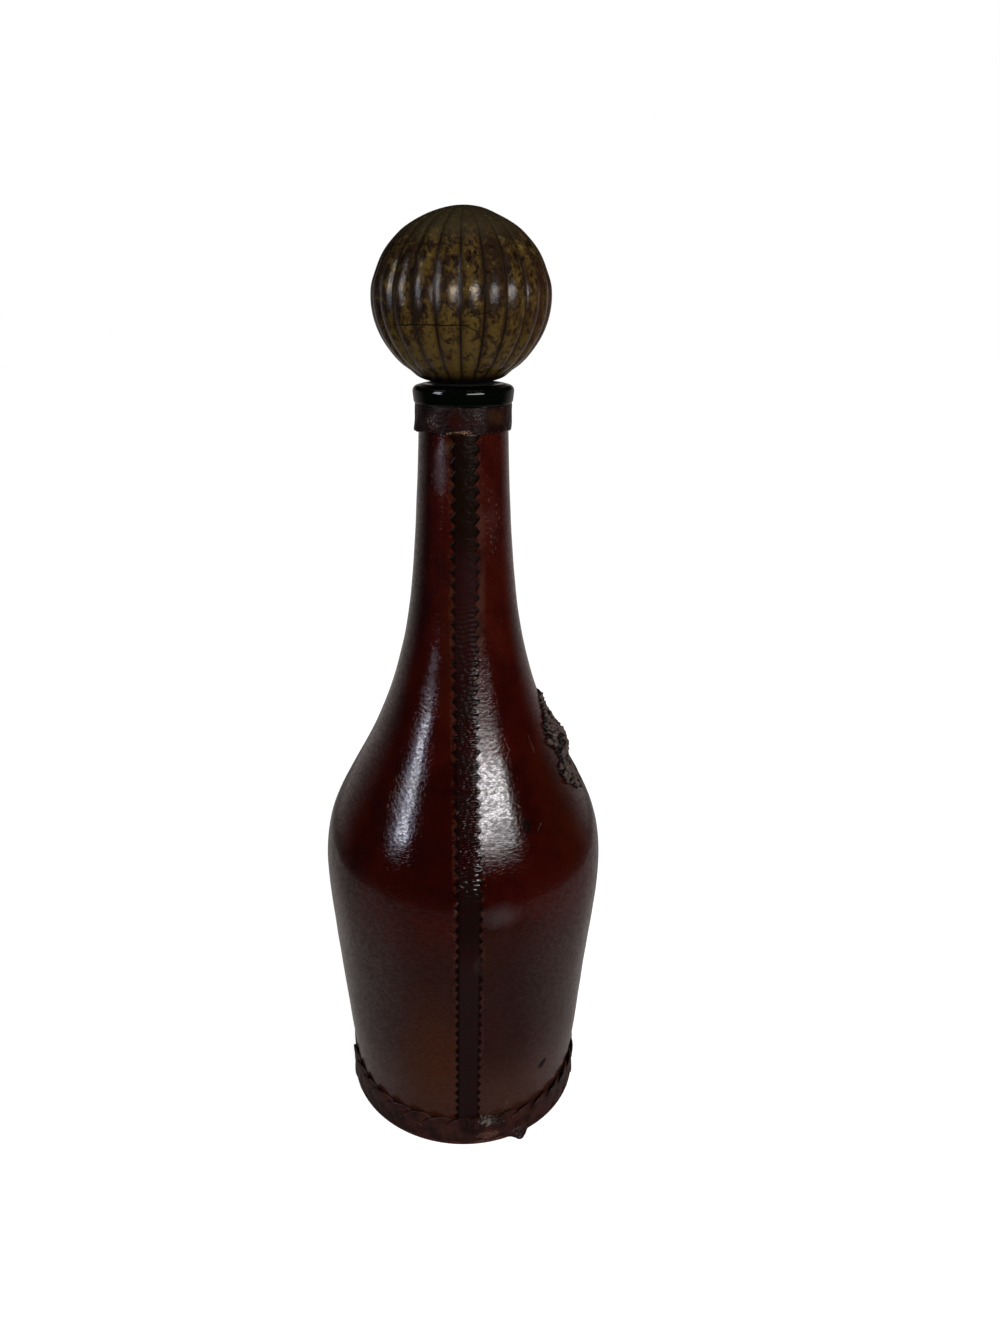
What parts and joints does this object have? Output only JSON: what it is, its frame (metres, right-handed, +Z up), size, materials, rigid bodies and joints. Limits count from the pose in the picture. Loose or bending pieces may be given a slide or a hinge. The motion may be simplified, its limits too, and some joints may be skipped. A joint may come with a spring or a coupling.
{
  "type": "decanter",
  "caption": "Round-shouldered glass decanter wrapped in leather, with pinked seam strips, a plaited base trim and a ribbed ball stopper that lifts out of the long neck.",
  "frame": {"origin": "centre of the base, on the surface the decanter stands on", "axes": "+Z up the bottle's axis, -Y through the front seam strip, +X through the vine ornament"},
  "size_m": [0.0984, 0.1012, 0.3108],
  "materials": {
    "bottle_glass": "dark green, polished",
    "body_leather": "glazed oxblood, worn",
    "strip_leather": "dark, tooled",
    "collar_leather": "scuffed",
    "plaited_leather": "plaited, worn",
    "underside_leather": "matte",
    "moulded_leather": "moulded relief, waxed",
    "gilt_lacquer": "ribbed, gold leaf under tortoise lacquer",
    "cork": "natural cork",
    "dowel_wood": "bare beech"
  },
  "bodies": {
    "decanter": {"glass_bottle": "bottle_glass", "leather_panel_left": "body_leather", "leather_panel_right": "body_leather", "seam_strip_front": "strip_leather", "seam_strip_back": "strip_leather", "neck_collar": "collar_leather", "base_braid": "plaited_leather", "base_disc": "underside_leather", "vine_ornament": "moulded_leather"},
    "stopper": {"stopper_ball": "gilt_lacquer", "stopper_cork": "cork", "stopper_dowel": "dowel_wood"}
  },
  "joints": [
    {"name": "stopper_lift", "type": "slide", "parent": "decanter", "child": "stopper", "axis": [0, 0, 1], "range_m": [0, 0.06]}
  ]
}
